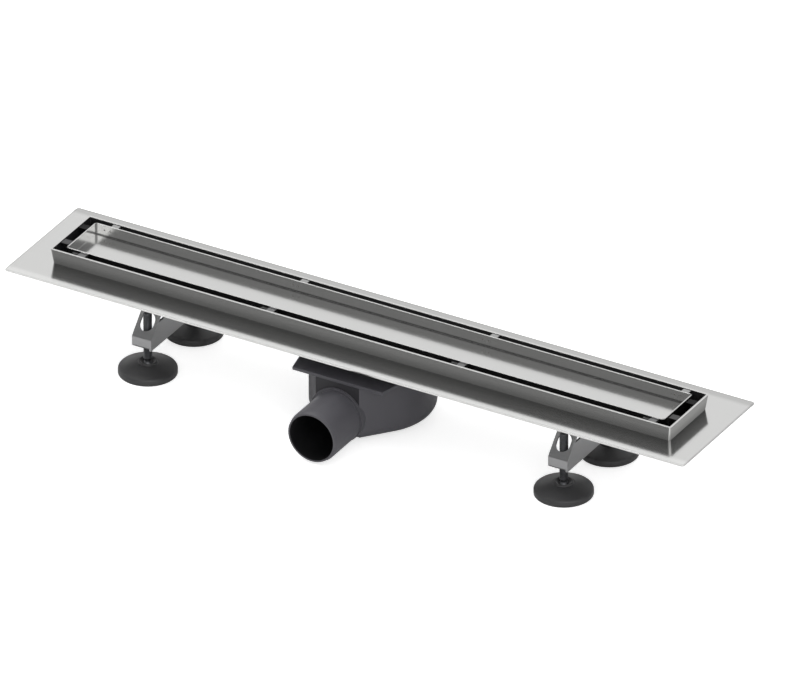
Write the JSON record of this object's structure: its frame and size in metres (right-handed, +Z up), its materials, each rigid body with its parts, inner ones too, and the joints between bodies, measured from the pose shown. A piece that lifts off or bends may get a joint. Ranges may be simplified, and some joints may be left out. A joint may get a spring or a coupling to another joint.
{
  "type": "channel drain",
  "caption": "Linear shower channel drain with a sealing flange, a tile-in tray, a side-outlet odour trap and adjustable feet.",
  "frame": {"origin": "on the raw floor plane that the feet stand on, under the middle of the channel", "axes": "+X along the channel, +Y to the back, +Z up; the outlet spigot points to -Y"},
  "size_m": [0.7, 0.178, 0.0946],
  "materials": {
    "brushed_stainless": "brushed",
    "bracket_steel": "satin",
    "fastener_steel": "zinc plated",
    "trap_plastic": "moulded",
    "insert_plastic": "moulded",
    "pad_plastic": "moulded",
    "seal_rubber": "matte"
  },
  "bodies": {
    "drain": {"sealing_flange": "brushed_stainless", "channel_trough": "brushed_stainless", "tile_tray": "brushed_stainless", "trap_housing": "trap_plastic", "trap_lid": "trap_plastic", "trap_gasket": "seal_rubber", "clamp_plate": "brushed_stainless", "clamp_screws": "fastener_steel", "dip_tube": "insert_plastic", "insert_seal": "seal_rubber", "siphon_cup": "insert_plastic", "hair_strainer": "brushed_stainless", "tray_spacer_back_1": "brushed_stainless", "tray_spacer_front_1": "brushed_stainless", "tray_leg_1": "brushed_stainless", "tray_spacer_back_2": "brushed_stainless", "tray_spacer_front_2": "brushed_stainless", "tray_leg_2": "brushed_stainless", "tray_spacer_back_3": "brushed_stainless", "tray_spacer_front_3": "brushed_stainless", "tray_leg_3": "brushed_stainless", "tray_spacer_back_4": "brushed_stainless", "tray_spacer_front_4": "brushed_stainless", "tray_leg_4": "brushed_stainless", "tray_spacer_left_1": "brushed_stainless", "tray_spacer_right_1": "brushed_stainless", "tray_spacer_left_2": "brushed_stainless", "tray_spacer_right_2": "brushed_stainless", "foot_bracket_left": "bracket_steel", "foot_bracket_right": "bracket_steel", "foot_nut_front_left": "fastener_steel", "foot_nut_back_left": "fastener_steel", "foot_nut_front_right": "fastener_steel", "foot_nut_back_right": "fastener_steel"},
    "rod_front_left": {"foot_rod_front_left": "fastener_steel"},
    "pad_front_left": {"foot_pad_front_left": "pad_plastic"},
    "rod_back_left": {"foot_rod_back_left": "fastener_steel"},
    "pad_back_left": {"foot_pad_back_left": "pad_plastic"},
    "rod_front_right": {"foot_rod_front_right": "fastener_steel"},
    "pad_front_right": {"foot_pad_front_right": "pad_plastic"},
    "rod_back_right": {"foot_rod_back_right": "fastener_steel"},
    "pad_back_right": {"foot_pad_back_right": "pad_plastic"}
  },
  "joints": [
    {"name": "foot_height_front_left", "type": "slide", "parent": "drain", "child": "rod_front_left", "axis": [0, 0, 1], "range_m": [-0.022, 0.015]},
    {"name": "pad_tilt_front_left", "type": "hinge", "parent": "rod_front_left", "child": "pad_front_left", "pos_m": [-0.2146, -0.041, 0.008], "axis": [1, 0, 0], "range_deg": [-8, 8]},
    {"name": "foot_height_back_left", "type": "slide", "parent": "drain", "child": "rod_back_left", "axis": [0, 0, 1], "range_m": [-0.022, 0.015]},
    {"name": "pad_tilt_back_left", "type": "hinge", "parent": "rod_back_left", "child": "pad_back_left", "pos_m": [-0.2146, 0.041, 0.008], "axis": [1, 0, 0], "range_deg": [-8, 8]},
    {"name": "foot_height_front_right", "type": "slide", "parent": "drain", "child": "rod_front_right", "axis": [0, 0, 1], "range_m": [-0.022, 0.015]},
    {"name": "pad_tilt_front_right", "type": "hinge", "parent": "rod_front_right", "child": "pad_front_right", "pos_m": [0.2146, -0.041, 0.008], "axis": [1, 0, 0], "range_deg": [-8, 8]},
    {"name": "foot_height_back_right", "type": "slide", "parent": "drain", "child": "rod_back_right", "axis": [0, 0, 1], "range_m": [-0.022, 0.015]},
    {"name": "pad_tilt_back_right", "type": "hinge", "parent": "rod_back_right", "child": "pad_back_right", "pos_m": [0.2146, 0.041, 0.008], "axis": [1, 0, 0], "range_deg": [-8, 8]}
  ]
}
